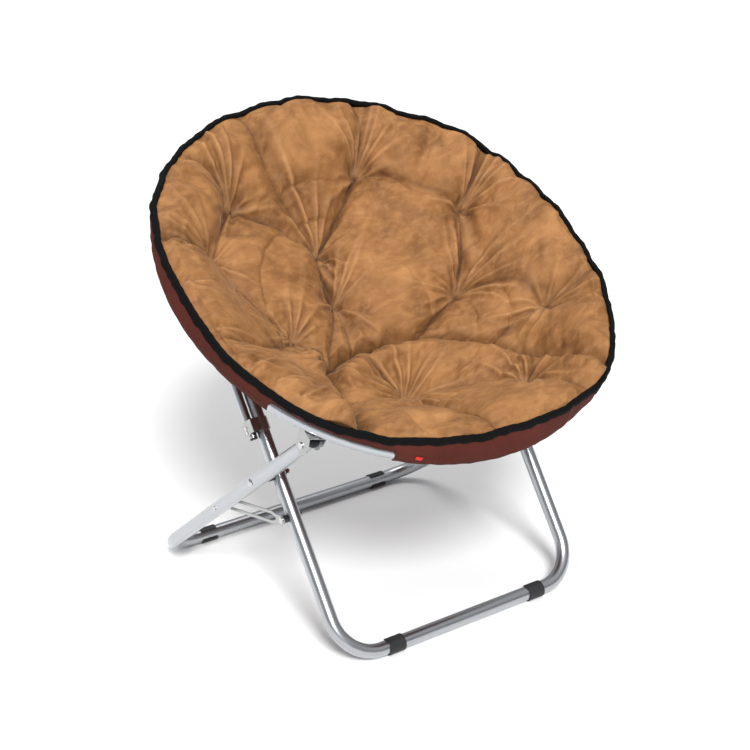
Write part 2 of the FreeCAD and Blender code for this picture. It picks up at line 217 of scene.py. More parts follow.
def plastic(name, base, r0, r1, grain, strength, spec=0.35):
    m, nt, b = new_mat(name)
    oc = obj_coord(nt)
    n1 = tex_noise(nt, oc, 60.0, 4.0)
    link(nt, mix_col(nt, n1.outputs["Fac"], base, tuple(c * 1.9 + 0.004 for c in base)), b.inputs["Base Color"])
    mr = nt.nodes.new("ShaderNodeMapRange")
    mr.inputs["To Min"].default_value = r0
    mr.inputs["To Max"].default_value = r1
    link(nt, n1.outputs["Fac"], mr.inputs["Value"])
    link(nt, mr.outputs[0], b.inputs["Roughness"])
    b.inputs["Specular IOR Level"].default_value = spec
    link(nt, bump(nt, tex_noise(nt, oc, grain, 4.0).outputs["Fac"], strength, 0.0003), b.inputs["Normal"])
    return m


M_RUBBER = plastic("black_rubber", (0.012, 0.012, 0.013), 0.42, 0.62, 1400.0, 0.3)
M_PLASTIC = plastic("black_plastic", (0.008, 0.009, 0.011), 0.28, 0.44, 1800.0, 0.2, 0.5)

for name, o in N.items():
    if "tube" in name or "joiner" in name:
        mat = M_TUBE
    elif "pad" in name:
        mat = M_RUBBER
    elif "plug" in name or "spacer" in name:
        mat = M_PLASTIC
    elif "bracket" in name or name.startswith("strut_collar") or name in ("stay_left", "stay_right"):
        mat = M_ZINC
    else:
        mat = M_BOLT
    o.data.materials.clear()
    o.data.materials.append(mat)


# ------------------------------------------------------------------ the quilted seat
# All in seat coordinates, mm: x to the right, v to the rear, n off the ring's plane.
PROF = np.array([(0, -128), (60, -126), (130, -116), (200, -96), (260, -66), (310, -31), (350, 1), (380, 18), (397, 22), (440, 24)], float)

# the bound edge: angle, radius, height
EDGE = np.array([(-180, 403.2, 30.8), (-175, 403.8, 31.7), (-170, 405.8, 32.3), (-165, 410.0, 33.0), (-160, 413.6, 33.7), (-155, 413.8, 34.3), (-150, 412.6, 35.0),
                 (-145, 414.1, 35.8), (-140, 417.4, 36.7), (-135, 418.4, 37.5), (-130, 415.5, 38.3), (-125, 410.4, 39.2), (-120, 405.7, 40.0), (-115, 402.4, 40.7),
                 (-110, 399.2, 41.3), (-105, 396.2, 42.0), (-100, 394.2, 42.7), (-95, 393.0, 43.3), (-90, 392.5, 44.3), (-85, 394.2, 46.0), (-80, 398.9, 48.0),
                 (-75, 404.0, 50.0), (-70, 407.9, 51.8), (-65, 411.2, 53.3), (-60, 413.9, 54.7), (-55, 413.7, 55.3), (-50, 410.2, 54.7), (-45, 404.9, 53.3),
                 (-40, 399.6, 51.5), (-35, 396.2, 48.7), (-30, 394.9, 45.3), (-25, 393.4, 42.2), (-20, 390.0, 39.5), (-15, 387.5, 37.3), (-10, 386.9, 34.9),
                 (-5, 387.2, 32.3), (0, 388.7, 30.0), (5, 388.9, 28.0), (10, 389.6, 26.1), (15, 392.4, 24.2), (20, 395.3, 22.5), (25, 396.4, 20.8),
                 (30, 398.4, 19.3), (35, 402.8, 18.3), (40, 405.5, 17.7), (45, 403.0, 17.0), (50, 395.7, 17.2), (55, 392.7, 18.7), (60, 392.5, 19.7),
                 (65, 393.1, 19.9), (70, 393.2, 20.4), (75, 393.3, 20.9), (80, 394.2, 21.0), (85, 395.4, 20.9), (90, 396.4, 20.7), (95, 397.8, 20.0),
                 (100, 399.7, 18.8), (105, 401.4, 17.6), (110, 402.8, 16.8), (115, 404.0, 16.4), (120, 405.3, 16.4), (125, 408.0, 17.0), (130, 411.1, 18.0),
                 (135, 412.5, 19.0), (140, 412.5, 19.9), (145, 413.3, 20.3), (150, 414.9, 21.1), (155, 409.1, 23.1), (160, 409.2, 25.0), (165, 408.0, 26.5),
                 (170, 405.1, 28.0), (175, 403.2, 29.5), (180, 403.2, 30.8)], float)
# where the bound edge is pinched in: angle, depth, width in degrees
PINCH = [(131, 4, 3.0), (103, 4, 2.6), (91, 5, 2.0), (67, 4, 2.4), (56, 4, 2.4), (43, 4, 2.2), (28, 5, 2.0), (18, 4, 1.8), (8, 4, 1.8), (0, 4, 1.6),
         (-17, 4, 2.2), (-128, 3, 2.5), (150, 3, 2.2), (172, 3, 2.6)]


def periodic(ang, xs, ys):
    """Smooth periodic curve through (xs, ys), xs in degrees from -180 to 180."""
    a = (np.asarray(ang) + 180) % 360 - 180
    X = np.concatenate([xs[:-1] - 360, xs[:-1], xs + 360])
    Y = np.concatenate([ys[:-1], ys[:-1], ys])
    o = np.argsort(X)
    X, Y = X[o], Y[o]
    i = np.clip(np.searchsorted(X, a, side="right") - 1, 1, len(X) - 3)
    t = (a - X[i]) / (X[i + 1] - X[i])
    m0 = (Y[i + 1] - Y[i - 1]) / (X[i + 1] - X[i - 1]) * (X[i + 1] - X[i])
    m1 = (Y[i + 2] - Y[i]) / (X[i + 2] - X[i]) * (X[i + 1] - X[i])
    return (2 * t**3 - 3 * t**2 + 1) * Y[i] + (t**3 - 2 * t**2 + t) * m0 + (-2 * t**3 + 3 * t**2) * Y[i + 1] + (t**3 - t**2) * m1


def edge_r(ang):
    r = periodic(ang, EDGE[:, 0], EDGE[:, 1])
    for a, d, w in PINCH:
        k = (np.asarray(ang) - a + 180) % 360 - 180
        r = r - d * np.exp(-(np.abs(k) / w) ** 1.4)
    rad = np.radians(ang)
    return r + 1.2 * np.sin(17 * rad + 0.7) + 0.8 * np.sin(29 * rad + 2.0)


def edge_n(ang):
    rad = np.radians(ang)
    return periodic(ang, EDGE[:, 0], EDGE[:, 2]) + 1.3 * np.sin(13 * rad + 0.4) + 0.9 * np.sin(31 * rad + 1.1)


# tufts: x, v, pull, reach
TUFTS = [(-167, 241, 24, 1.0), (112, 257, 22, 1.0), (272, 126, 24, 1.0), (-261, 138, 22, 0.9), (-15, 145, 22, 0.9),
         (195, -16, 26, 1.0), (-33, 43, 26, 0.9), (281, -143, 22, 1.1), (-31, -197, 30, 1.2), (144, -278, 22, 1.0),
         (-171, -29, 18, 0.9)]
# valleys between the puffs: points, depth, width, and whether the line is stitched down
VALLEYS = [
    ([(-150, -106), (-92, -80), (-20, -72), (41, -78), (87, -92), (135, -128), (171, -165), (196, -226), (216, -276), (236, -330)], 34, 13, True),
    ([(-150, -106), (-176, -150), (-204, -215), (-238, -290), (-262, -322)], 32, 13, True),
    ([(-33, 43), (-46, -10), (-70, -72)], 20, 10, False),
    ([(-33, 43), (-80, -20), (-150, -106)], 14, 16, False),
    ([(195, -16), (130, -46), (64, -82)], 17, 12, False),
    ([(281, -143), (220, -140), (166, -158)], 13, 12, False),
    ([(-15, 145), (-30, 95), (-33, 43)], 20, 14, False),
    ([(-15, 145), (50, 200), (112, 257)], 18, 15, False),
    ([(-167, 241), (-95, 205), (-15, 145)], 16, 16, False),
    ([(-167, 241), (-205, 205), (-261, 138)], 18, 13, False),
    ([(112, 257), (136, 318), (140, 372)], 14, 11, False),
    ([(112, 257), (190, 205), (272, 126)], 8, 16, False),
    ([(272, 126), (316, 176), (342, 205)], 15, 10, False),
    ([(272, 126), (236, 55), (195, -16)], 20, 11, False),
    ([(-15, 145), (-62, 250), (-98, 378)], 9, 12, False),
    ([(-167, 241), (-215, 300), (-240, 316)], 10, 12, False),
    ([(-261, 138), (-330, 150), (-392, 150)], 12, 11, False),
    ([(-261, 138), (-230, 60), (-171, -29)], 12, 14, False),
    ([(195, -16), (250, -60), (281, -143)], 8, 18, False),
    ([(281, -143), (340, -140), (395, -130)], 7, 12, False),
    ([(-31, -197), (-52, -140), (-66, -84)], 15, 12, False),
    ([(-31, -197), (-38, -290), (-30, -385)], 12, 15, False),
    ([(-31, -197), (60, -225), (144, -278)], 9, 18, False),
    ([(144, -278), (175, -240), (196, -222)], 14, 10, False),
    ([(144, -278), (150, -330), (170, -372)], 9, 14, False),
    ([(-171, -29), (-160, -70), (-150, -106)], 12, 12, False),
    ([(-171, -29), (-270, -80), (-388, -80)], 6, 15, False),
]


def seg_dist(x, v, pts):
    best = np.full(x.shape, 1e9)
    for (x0, v0), (x1, v1) in zip(pts, pts[1:]):
        dx, dv = x1 - x0, v1 - v0
        t = np.clip(((x - x0) * dx + (v - v0) * dv) / (dx * dx + dv * dv), 0, 1)
        best = np.minimum(best, np.hypot(x - x0 - t * dx, v - v0 - t * dv))
    return best


def smooth_line(pts, k=4):
    """Catmull-Rom refinement of a polyline."""
    p = np.array([pts[0]] + list(pts) + [pts[-1]], float)
    out = []
    for i in range(1, len(p) - 2):
        for s in range(k):
            t = s / k
            out.append(0.5 * ((2 * p[i]) + (-p[i - 1] + p[i + 1]) * t + (2 * p[i - 1] - 5 * p[i] + 4 * p[i + 1] - p[i + 2]) * t * t
                              + (-p[i - 1] + 3 * p[i] - 3 * p[i + 1] + p[i + 2]) * t**3))
    out.append(p[-2])
    return [tuple(q) for q in out]


LINES = [(smooth_line(p), d, w, pin) for p, d, w, pin in VALLEYS]


def disc(n):
    """Square grid mapped onto the unit disc: radius, angle and quads."""
    g = np.linspace(-1, 1, n)
    a, b = np.meshgrid(g, g)
    with np.errstate(divide="ignore", invalid="ignore"):
        r = np.where(np.abs(a) > np.abs(b), a, b)
        t = np.where(np.abs(a) > np.abs(b), (math.pi / 4) * (b / a), math.pi / 2 - (math.pi / 4) * (a / b))
    t = np.where(r == 0, 0.0, t)
    x, y = r * np.cos(t), r * np.sin(t)
    idx = np.arange(n * n).reshape(n, n)
    q = np.stack([idx[:-1, :-1], idx[:-1, 1:], idx[1:, 1:], idx[1:, :-1]], -1).reshape(-1, 4)
    rim = np.concatenate([idx[0, :-1], idx[:-1, -1], idx[-1, :0:-1], idx[:0:-1, 0]])
    return x.ravel(), y.ravel(), q, rim


def base_height(x, v):
    rho = np.hypot(x, v)
    ang = np.degrees(np.arctan2(v, x))
    er, en = edge_r(ang), edge_n(ang)
    u = np.clip(rho / er, 0, 1)
    h = np.interp(u * 403, PROF[:, 0], PROF[:, 1])
    k = np.clip((u - 0.55) / 0.45, 0, 1)
    k = k * k * (3 - 2 * k)
    return h + (en - 23.0) * k, u


def seat_start(x, v):
    h, u = base_height(x, v)
    # fullness: rises quickly from the bound edge, then carries over the whole seat
    e = np.clip(((1 - u) * 403 - 3.0) / 36.0, 0, 1)
    full = 16.0 * np.sin(e * math.pi / 2) ** 0.9
    val = np.zeros_like(x)
    for pts, d, w, _ in LINES:
        dd = seg_dist(x, v, pts)
        val = np.maximum(val, 1.35 * d * np.exp(-(dd / (1.12 * w)) ** 1.2))
    for tx, tv, d, k in TUFTS:
        dd = np.hypot(x - tx, v - tv)
        val = np.maximum(val, 1.5 * d * np.exp(-(dd / (20 * k)) ** 1.15))
        val = val + 0.5 * d * np.exp(-(dd / (56 * k)) ** 2)
    # the seat pad stands up in front of its crease, the left wall rolls over it
    pad = seg_dist(x, v, LINES[0][0])
    front = (v < np.interp(x, [-150, -92, 41, 87, 171, 196, 236], [-106, -80, -78, -92, -165, -226, -330])) & (x > -150)
    full = full + np.where(front, 17.0 * np.exp(-((pad - 36) / 30.0) ** 2), 0)
    lw = seg_dist(x, v, LINES[1][0])
    left = x < np.interp(v, [-322, -290, -215, -150, -106], [-262, -238, -204, -176, -150])
    full = full + np.where(left & (v < -60), 21.0 * np.exp(-((lw - 32) / 27.0) ** 2), 0)
    return h + full - val * np.clip((1 - u) * 403 / 20.0, 0, 1) ** 0.5


def mesh_from(name, co, faces):
    me = bpy.data.meshes.new(name)
    me.from_pydata([tuple(c) for c in co], [], [tuple(int(i) for i in f) for f in faces])
    me.update()
    o = bpy.data.objects.new(name, me)
    SC.collection.objects.link(o)
    return o


def seat_sheet():
    """Top sheet of the seat: puffed by a short cloth simulation, in seat coordinates."""
    n = 161
    ux, uy, quads, rim = disc(n)
    ang = np.degrees(np.arctan2(uy, ux))
    R = edge_r(ang) - 3.0
    x, v = ux * R, uy * R
    h = seat_start(x, v)
    pin = np.zeros(len(x))
    pin[rim] = 1.0
    for tx, tv, d, k in TUFTS:
        pin[np.hypot(x - tx, v - tv) < 8.5] = 1.0
    for pts, d, w, st in LINES:
        dd = seg_dist(x, v, pts)
        if st:
            pin[dd < 3.6] = 1.0
        else:
            pin = np.maximum(pin, np.where(dd < 3.4, min(0.9, 0.055 * d), 0) * np.clip(d - 8, 0, 1))
    co = np.stack([x, v, h], 1)
    co = puff(co, quads, pin)
    return co, quads, rim, (x, v, h)


def puff(co, quads, pin, frames=16):
    o = mesh_from("seat_sheet_sim", co * MM, quads)
    g = o.vertex_groups.new(name="pin")
    for w in np.unique(np.round(pin, 2)):
        if w > 0:
            g.add([int(i) for i in np.nonzero(np.round(pin, 2) == w)[0]], float(w), "REPLACE")
    m = o.modifiers.new("cloth", "CLOTH")
    s = m.settings
    s.quality = 6
    s.mass = 0.25
    s.time_scale = 0.8
    s.tension_stiffness = s.compression_stiffness = 22
    s.shear_stiffness = 6
    s.bending_stiffness = 0.35
    s.tension_damping = s.compression_damping = s.shear_damping = 8
    s.bending_damping = 1.2
    s.air_damping = 3
    s.vertex_group_mass = "pin"
    s.pin_stiffness = 1.0
    s.shrink_min = -0.06
    s.use_pressure = True
    s.uniform_pressure_force = 4.0
    s.effector_weights.gravity = 0
    m.collision_settings.use_collision = False
    m.collision_settings.use_self_collision = False
    m.point_cache.frame_start, m.point_cache.frame_end = 1, frames
    SC.frame_start, SC.frame_end = 1, frames
    for f in range(1, frames + 1):
        SC.frame_set(f)
    dg = bpy.context.evaluated_depsgraph_get()
    ev = o.evaluated_get(dg)
    out = np.empty(len(ev.data.vertices) * 3)
    ev.data.vertices.foreach_get("co", out)
    out = out.reshape(-1, 3) / MM
    me = o.data
    bpy.data.objects.remove(o)
    bpy.data.meshes.remove(me)
    SC.frame_set(1)
    d = out - co
    L = np.linalg.norm(d, axis=1)
    cap = 24.0
    k = np.where(L > 0, cap * np.tanh(L / cap) / np.maximum(L, 1e-9), 1.0)
    return co + d * k[:, None]


# ------------------------------------------------------------------ fabrics
def velvet():
    m, nt, b = new_mat("tan_velvet")
    oc = obj_coord(nt)
    patch = tex_noise(nt, mapping(nt, oc, (1.0, 1.5, 1.0), (0.2, 0.1, 0.5)), 13.0, 4.0, 0.55, 0.5)
    nap = tex_noise(nt, mapping(nt, oc, (1.0, 2.4, 1.5), (0.5, 0.0, 0.35)), 42.0, 4.0, 0.6, 0.3)
    pile = tex_noise(nt, oc, 1100.0, 2.0, 0.6)
    base = ramp(nt, patch.outputs["Fac"], [(0.28, (0.138, 0.056, 0.0165)), (0.44, (0.224, 0.098, 0.031)), (0.56, (0.272, 0.122, 0.040)), (0.74, (0.386, 0.183, 0.066))])
    col = mix_col(nt, math_node(nt, "MULTIPLY", ramp(nt, nap.outputs["Fac"], [(0.44, (0, 0, 0)), (0.72, (1, 1, 1))]).outputs["Color"], 0.42), base.outputs["Color"], (0.46, 0.232, 0.092))
    col = mix_col(nt, math_node(nt, "MULTIPLY", pile.outputs["Fac"], 0.18), col, (0.17, 0.07, 0.024))
    # painted shade: this point attribute darkens the velvet towards a near-black brown in tufts and creases
    fold = nt.nodes.new("ShaderNodeAttribute")
    fold.attribute_name = "fold"
    col = mix_col(nt, math_node(nt, "MULTIPLY", fold.outputs["Fac"], 0.9), col, (0.040, 0.014, 0.005))
    # painted highlight: this point attribute lightens the velvet along the pleat ridges
    lit = nt.nodes.new("ShaderNodeAttribute")
    lit.attribute_name = "painted_ridge_highlight"
    col = mix_col(nt, math_node(nt, "MULTIPLY", lit.outputs["Fac"], 0.5), col, (0.50, 0.270, 0.120))
    link(nt, col, b.inputs["Base Color"])
    mr = nt.nodes.new("ShaderNodeMapRange")
    mr.inputs["To Min"].default_value = 0.58
    mr.inputs["To Max"].default_value = 0.78
    link(nt, patch.outputs["Fac"], mr.inputs["Value"])
    link(nt, mr.outputs[0], b.inputs["Roughness"])
    b.inputs["Specular IOR Level"].default_value = 0.22
    b.inputs["Sheen Weight"].default_value = 0.16
    b.inputs["Sheen Roughness"].default_value = 0.32
    b.inputs["Sheen Tint"].default_value = (1.0, 0.74, 0.48, 1)
    n1 = bump(nt, nap.outputs["Fac"], 0.18, 0.0012)
    link(nt, bump(nt, pile.outputs["Fac"], 0.16, 0.0003, n1), b.inputs["Normal"])
    return m


def woven(name, c0, c1, thread=1500.0, strength=0.4, rough=(0.66, 0.84), sheen=0.1):
    m, nt, b = new_mat(name)
    oc = obj_coord(nt)
    big = tex_noise(nt, oc, 7.0, 5.0, 0.6, 0.6)
    wx = tex_noise(nt, mapping(nt, oc, (1.0, 0.12, 0.12)), thread, 2.0)
    wy = tex_noise(nt, mapping(nt, oc, (0.12, 1.0, 1.0)), thread, 2.0)
    w = math_node(nt, "MAXIMUM", wx.outputs["Fac"], wy.outputs["Fac"])
    col = ramp(nt, big.outputs["Fac"], [(0.3, c0), (0.72, c1)])
    dark = tuple(c * 0.55 for c in c0)
    link(nt, mix_col(nt, math_node(nt, "MULTIPLY", math_node(nt, "SUBTRACT", 0.9, w, True), 0.9), col.outputs["Color"], dark), b.inputs["Base Color"])
    mr = nt.nodes.new("ShaderNodeMapRange")
    mr.inputs["To Min"].default_value, mr.inputs["To Max"].default_value = rough
    link(nt, big.outputs["Fac"], mr.inputs["Value"])
    link(nt, mr.outputs[0], b.inputs["Roughness"])
    b.inputs["Specular IOR Level"].default_value = 0.12
    b.inputs["Sheen Weight"].default_value = sheen
    b.inputs["Sheen Roughness"].default_value = 0.5
    link(nt, bump(nt, w, strength, 0.0005), b.inputs["Normal"])
    return m


M_VELVET = velvet()
M_BROWN = woven("brown_fabric", (0.074, 0.0155, 0.0105), (0.112, 0.027, 0.018), 1300.0, 0.40, (0.72, 0.86), 0.0)
M_BIND = woven("black_binding", (0.0022, 0.0022, 0.0025), (0.0045, 0.0045, 0.005), 1700.0, 0.5, (0.82, 0.92), 0.0)
M_TAG = woven("red_tag", (0.66, 0.012, 0.016), (0.80, 0.03, 0.03), 2200.0, 0.3, (0.5, 0.65))

RNG = np.random.default_rng(11)


# ------------------------------------------------------------------ fine folds
def painted_crease_shade(x, v):
    """Painted crease shade: 1 in the tufts and the tightest creases, where it darkens the velvet's colour."""
    k = np.zeros_like(x)
    for tx, tv, d, q in TUFTS:
        dd = np.hypot(x - tx, v - tv)
        k = np.maximum(k, 0.66 * np.exp(-(dd / 5.0) ** 2) + 0.46 * np.exp(-(dd / 24.0) ** 2))
    for pts, d, w, st in LINES:
        dd = seg_dist(x, v, pts)
        k = np.maximum(k, (0.85 if st else min(0.72, 0.040 * d)) * np.exp(-(dd / (3.4 if st else 2.5)) ** 2) + (0.46 if st else 0.19) * np.exp(-(dd / 16.0) ** 2))
    return np.clip(k, 0, 1)


# tuft x, v, then each pleat's direction in degrees, length and height
PLEATS = [
    (-167, 241, [(62, 70, 2.6), (82, 110, 3.4), (95, 120, 3.8), (106, 130, 4.0), (118, 120, 3.6), (133, 110, 3.4), (150, 90, 3.0), (12, 70, 2.6), (-14, 90, 3.4), (200, 60, 2.2), (232, 70, 2.8)]),
    (112, 257, [(30, 80, 3.2), (46, 100, 3.6), (60, 110, 3.4), (74, 100, 3.4), (92, 90, 3.0), (112, 80, 2.8), (5, 70, 3.0), (-25, 60, 2.4), (205, 80, 3.0), (180, 50, 2.0)]),
    (272, 126, [(-8, 70, 3.0), (12, 90, 3.4), (26, 100, 3.8), (40, 100, 3.6), (56, 90, 3.4), (74, 80, 3.0), (150, 60, 2.4), (-118, 110, 3.8), (-104, 100, 3.2), (-62, 60, 2.6)]),
    (-261, 138, [(100, 80, 3.0), (122, 100, 3.4), (140, 100, 3.4), (155, 110, 3.6), (172, 90, 3.0), (192, 80, 2.8), (-75, 70, 3.0), (-52, 90, 3.2), (30, 60, 2.4), (55, 70, 2.6)]),
    (-15, 145, [(62, 90, 3.2), (78, 110, 3.4), (101, 190, 4.2), (118, 90, 2.8), (28, 70, 2.8), (8, 50, 2.2), (152, 90, 3.4), (-84, 70, 3.6), (-104, 80, 3.4), (-60, 60, 2.6), (190, 50, 2.0)]),
    (195, -16, [(12, 80, 3.0), (30, 90, 3.2), (52, 90, 3.0), (68, 110, 3.8), (84, 90, 3.2), (-18, 80, 3.0), (-42, 100, 3.6), (-60, 80, 3.0), (165, 90, 3.4), (182, 80, 3.0), (200, 90, 3.6), (140, 60, 2.4)]),
    (-33, 43, [(38, 110, 3.6), (54, 120, 3.8), (70, 80, 3.0), (18, 60, 2.4), (-78, 80, 3.4), (-96, 90, 3.6), (-112, 90, 3.4), (-60, 60, 2.6), (200, 70, 2.6), (150, 50, 2.0)]),
    (281, -143, [(140, 80, 3.0), (158, 100, 3.6), (176, 100, 3.4), (196, 90, 3.2), (216, 70, 2.8), (100, 60, 2.6), (60, 60, 2.2), (-20, 60, 2.6), (10, 60, 2.4), (-50, 60, 2.4)]),
    (-31, -197, [(64, 90, 3.6), (84, 110, 4.0), (102, 110, 4.2), (120, 110, 4.0), (138, 100, 3.8), (158, 90, 3.4), (180, 80, 3.0), (205, 70, 2.6), (232, 80, 3.0), (258, 90, 3.2), (282, 80, 3.0), (310, 80, 3.0), (-14, 90, 3.2), (20, 90, 3.2), (42, 80, 3.2)]),
    (144, -278, [(70, 70, 3.0), (95, 90, 3.4), (120, 90, 3.4), (145, 80, 3.0), (172, 80, 3.0), (200, 70, 2.6), (235, 70, 2.6), (270, 60, 2.4), (305, 60, 2.6), (-15, 70, 2.8), (30, 80, 3.0)]),
    (-171, -29, [(38, 80, 3.0), (58, 90, 3.2), (80, 80, 3.0), (12, 60, 2.4), (-70, 60, 2.6), (-95, 70, 2.8), (200, 90, 2.8), (178, 80, 2.6), (150, 70, 2.6), (118, 70, 2.8)]),
    (-150, -106, [(150, 80, 2.8), (175, 90, 2.8), (200, 90, 2.8), (60, 50, 2.4), (-30, 60, 2.6), (-60, 60, 2.4)]),
]


# folds that start at the bound edge on the left, same layout
RIM_PLEATS = [
    (-390, -62, [(-6, 80, 2.6), (-22, 70, 2.2)]),
    (-381, -104, [(-2, 90, 2.9), (-19, 70, 2.3)]),
    (-366, -150, [(2, 90, 3.0), (-15, 70, 2.4)]),
    (-347, -190, [(6, 90, 3.0), (-10, 70, 2.3)]),
    (-322, -230, [(14, 80, 2.7), (-2, 60, 2.2)]),
    (-392, 40, [(-12, 70, 2.4), (-30, 60, 2.2)]),
    (-372, 128, [(-16, 60, 2.4), (-34, 60, 2.0)]),
]


def fine_folds(x, v):
    """Small folds on the seat, mm along the normal, with masks 0 to 1 for a painted highlight on their ridges and
    painted shade in their furrows.
    """
    ridge_highlight, furrow_shade = np.zeros_like(x), np.zeros_like(x)
    rho, ang = np.hypot(x, v), np.degrees(np.arctan2(v, x))
    er = edge_r(ang)
    d_rim = er - rho
    out = np.zeros_like(x)
    rad = np.radians(ang)
    # gathers along the bound edge
    g = np.sin(31 * rad + 2.2 * np.sin(5 * rad)) * 0.9 + np.sin(53 * rad + 1.7 * np.sin(7 * rad + 1)) * 0.7 + 0.5 * np.sin(83 * rad + 1.1)
    amp = 0.55 + 0.45 * np.sin(3 * rad + 0.5) * np.sin(8 * rad + 1.3)
    left = np.exp(-(((ang + 360) % 360 - 190) / 38.0) ** 2)
    g = np.sign(g) * np.abs(g) ** 1.25
    out += (1.5 + 1.3 * left) * g * amp * np.exp(-(d_rim / (32.0 + 18 * left)) ** 2) * np.clip(d_rim / 9.0, 0, 1)
    # pleats fanning out of each tuft, one ridge and its furrow at a time
    for tx, tv, fan in PLEATS + RIM_PLEATS:
        dx, dv = x - tx, v - tv
        for j, (deg, L, A) in enumerate(fan):
            th = math.radians(deg)
            bend = RNG.uniform(-0.0016, 0.0016)
            s = dx * math.cos(th) + dv * math.sin(th)
            c = -dx * math.sin(th) + dv * math.cos(th) - bend * s * s
            w = 2.3 + 0.036 * np.clip(s, 0, 200)
            along = np.clip(s / 9.0, 0, 1) * np.exp(-(np.clip(s, 0, None) / L) ** 2) * (s > 0)
            # painted highlight mask along each pleat's ridge
            ridge_highlight = np.maximum(ridge_highlight, A / 4.2 * along * np.exp(-(c / (0.5 * w + 0.5)) ** 2))
            # painted shade mask in each pleat's furrow
            furrow_shade = np.maximum(furrow_shade, A / 4.2 * along * np.exp(-((c - 1.8 * w) / (0.8 * w)) ** 2))
            out += A * along * (np.exp(-(c / w) ** 2) - 0.75 * np.exp(-((c - 2.0 * w) / (1.2 * w)) ** 2) - 0.3 * np.exp(-((c + 2.1 * w) / (1.2 * w)) ** 2))
    # short folds crossing the valleys
    for i, (pts, d, w, st) in enumerate(LINES):
        dd = seg_dist(x, v, pts)
        (x0, v0), (x1, v1) = pts[0], pts[-1]
        L = math.hypot(x1 - x0, v1 - v0)
        t = ((x - x0) * (x1 - x0) + (v - v0) * (v1 - v0)) / (L * L)
        s = t * L
        p = RNG.uniform(0, 6.28, 3)
        f = np.sin(s / 5.2 + p[0] + 0.035 * dd) * 0.8 + np.sin(s / 8.3 + p[1] - 0.03 * dd) + 0.5 * np.sin(s / 3.3 + p[2])
        hold = np.exp(-((dd - 9.0) / (15.0 if st else 11.0)) ** 2)
        fade = np.clip(np.minimum(t + 0.06, 1.06 - t) * 9, 0, 1)
        out += (1.25 if st else 0.62) * f * hold * fade * (0.6 + 0.4 * np.sin(s / 31.0 + p[2]))
    # the loose cloth itself
    nz = np.array([noise.noise(Vector((a * 0.016, b * 0.016, 3.1))) for a, b in zip(x, v)])
    nz2 = np.array([noise.noise(Vector((a * 0.045 + 7, b * 0.03, 1.7))) for a, b in zip(x, v)])
    return (1.38 * out + 2.6 * nz + 1.3 * nz2) * np.clip(d_rim / 7.0, 0, 1), ridge_highlight, furrow_shade


def apply_mods(o):
    dg = bpy.context.evaluated_depsgraph_get()
    me = bpy.data.meshes.new_from_object(o.evaluated_get(dg))
    old = o.data
    o.modifiers.clear()
    o.data = me
    bpy.data.meshes.remove(old)
    return o


def seat_cushion():
    co, quads, rim, _ = seat_sheet()
    o = mesh_from("seat_cushion_pad", co, quads)
    s = o.modifiers.new("s", "SUBSURF")
    s.levels = s.render_levels = 1
    s.boundary_smooth = "PRESERVE_CORNERS"
    apply_mods(o)
    me = o.data
    nv = len(me.vertices)
    p = np.empty(nv * 3)
    me.vertices.foreach_get("co", p)
    p = p.reshape(-1, 3)
    nr = np.empty(nv * 3)
    me.vertex_normals.foreach_get("vector", nr)
    nr = nr.reshape(-1, 3)
    lift, ridge_highlight, furrow_shade = fine_folds(p[:, 0], p[:, 1])
    # painted shade for the velvet: tufts, creases and pleat furrows darkened
    shade = np.clip(painted_crease_shade(p[:, 0], p[:, 1]) + 0.34 * furrow_shade, 0, 1)
    p = p + nr * lift[:, None]
    # the padding rides over the sleeve on the ring
    rr = np.hypot(p[:, 0], p[:, 1])
    near = np.abs(rr - 400.0) < 16.0
    p[near, 2] = np.maximum(p[near, 2], np.sqrt(16.0 ** 2 - (rr[near] - 400.0) ** 2))
    faces = np.empty(len(me.loops), int)
    me.loops.foreach_get("vertex_index", faces)
    faces = faces.reshape(-1, 4)
    # ordered boundary loop
    e = {}
    cnt = {}
    for f in faces:
        for a, b in ((f[0], f[1]), (f[1], f[2]), (f[2], f[3]), (f[3], f[0])):
            k = (a, b) if a < b else (b, a)
            cnt[k] = cnt.get(k, 0) + 1
            e[k] = (a, b)
    nxt = {}
    for k, c in cnt.items():
        if c == 1:
            a, b = e[k]
            nxt[a] = b
    start = next(iter(nxt))
    loop = [start]
    while nxt[loop[-1]] != start:
        loop.append(nxt[loop[-1]])
    loop = np.array(loop)
    # underside: from the rim down to the bowl's bottom
    rx, rv, rn = p[loop, 0], p[loop, 1], p[loop, 2]
    rr, ra = np.hypot(rx, rv), np.arctan2(rv, rx)
    LOWR = np.array([(0, -185), (70, -181), (150, -166), (230, -137), (300, -96), (350, -50), (372, -22), (384, 2), (392, 14)], float)
    rings = []
    for r in (392, 384, 372, 350, 325, 300, 265, 230, 190, 150, 110, 70, 30):
        h = np.interp(r, LOWR[:, 0], LOWR[:, 1])
        rings.append(np.stack([r * np.cos(ra), r * np.sin(ra), np.minimum(h, rn - 5.0)], 1))
    base = len(p)
    n = len(loop)
    allp = [p] + rings + [np.array([[0, 0, -186.0]])]
    P = np.concatenate(allp)
    fl = [tuple(f) for f in faces]
    prev = loop
    for k in range(len(rings)):
        cur = base + k * n + np.arange(n)
        for i in range(n):
            j = (i + 1) % n
            fl.append((prev[j], prev[i], cur[i], cur[j]))
        prev = cur
    c = len(P) - 1
    for i in range(n):
        fl.append((prev[(i + 1) % n], prev[i], c))
    bpy.data.objects.remove(o)
    o = mesh_from("seat_cushion_pad", world(P[:, 0], P[:, 1], P[:, 2]), fl)
    # painted shade for the velvet, stored per point
    at = o.data.attributes.new("fold", "FLOAT", "POINT")
    at.data.foreach_set("value", np.concatenate([shade, np.zeros(len(P) - len(p))]))
    # painted highlight for the velvet, stored per point
    at = o.data.attributes.new("painted_ridge_highlight", "FLOAT", "POINT")
    at.data.foreach_set("value", np.concatenate([np.clip(ridge_highlight, 0, 1), np.zeros(len(P) - len(p))]))
    o.data.materials.append(M_VELVET)
    o.data.polygons.foreach_set("use_smooth", [True] * len(o.data.polygons))
    return o


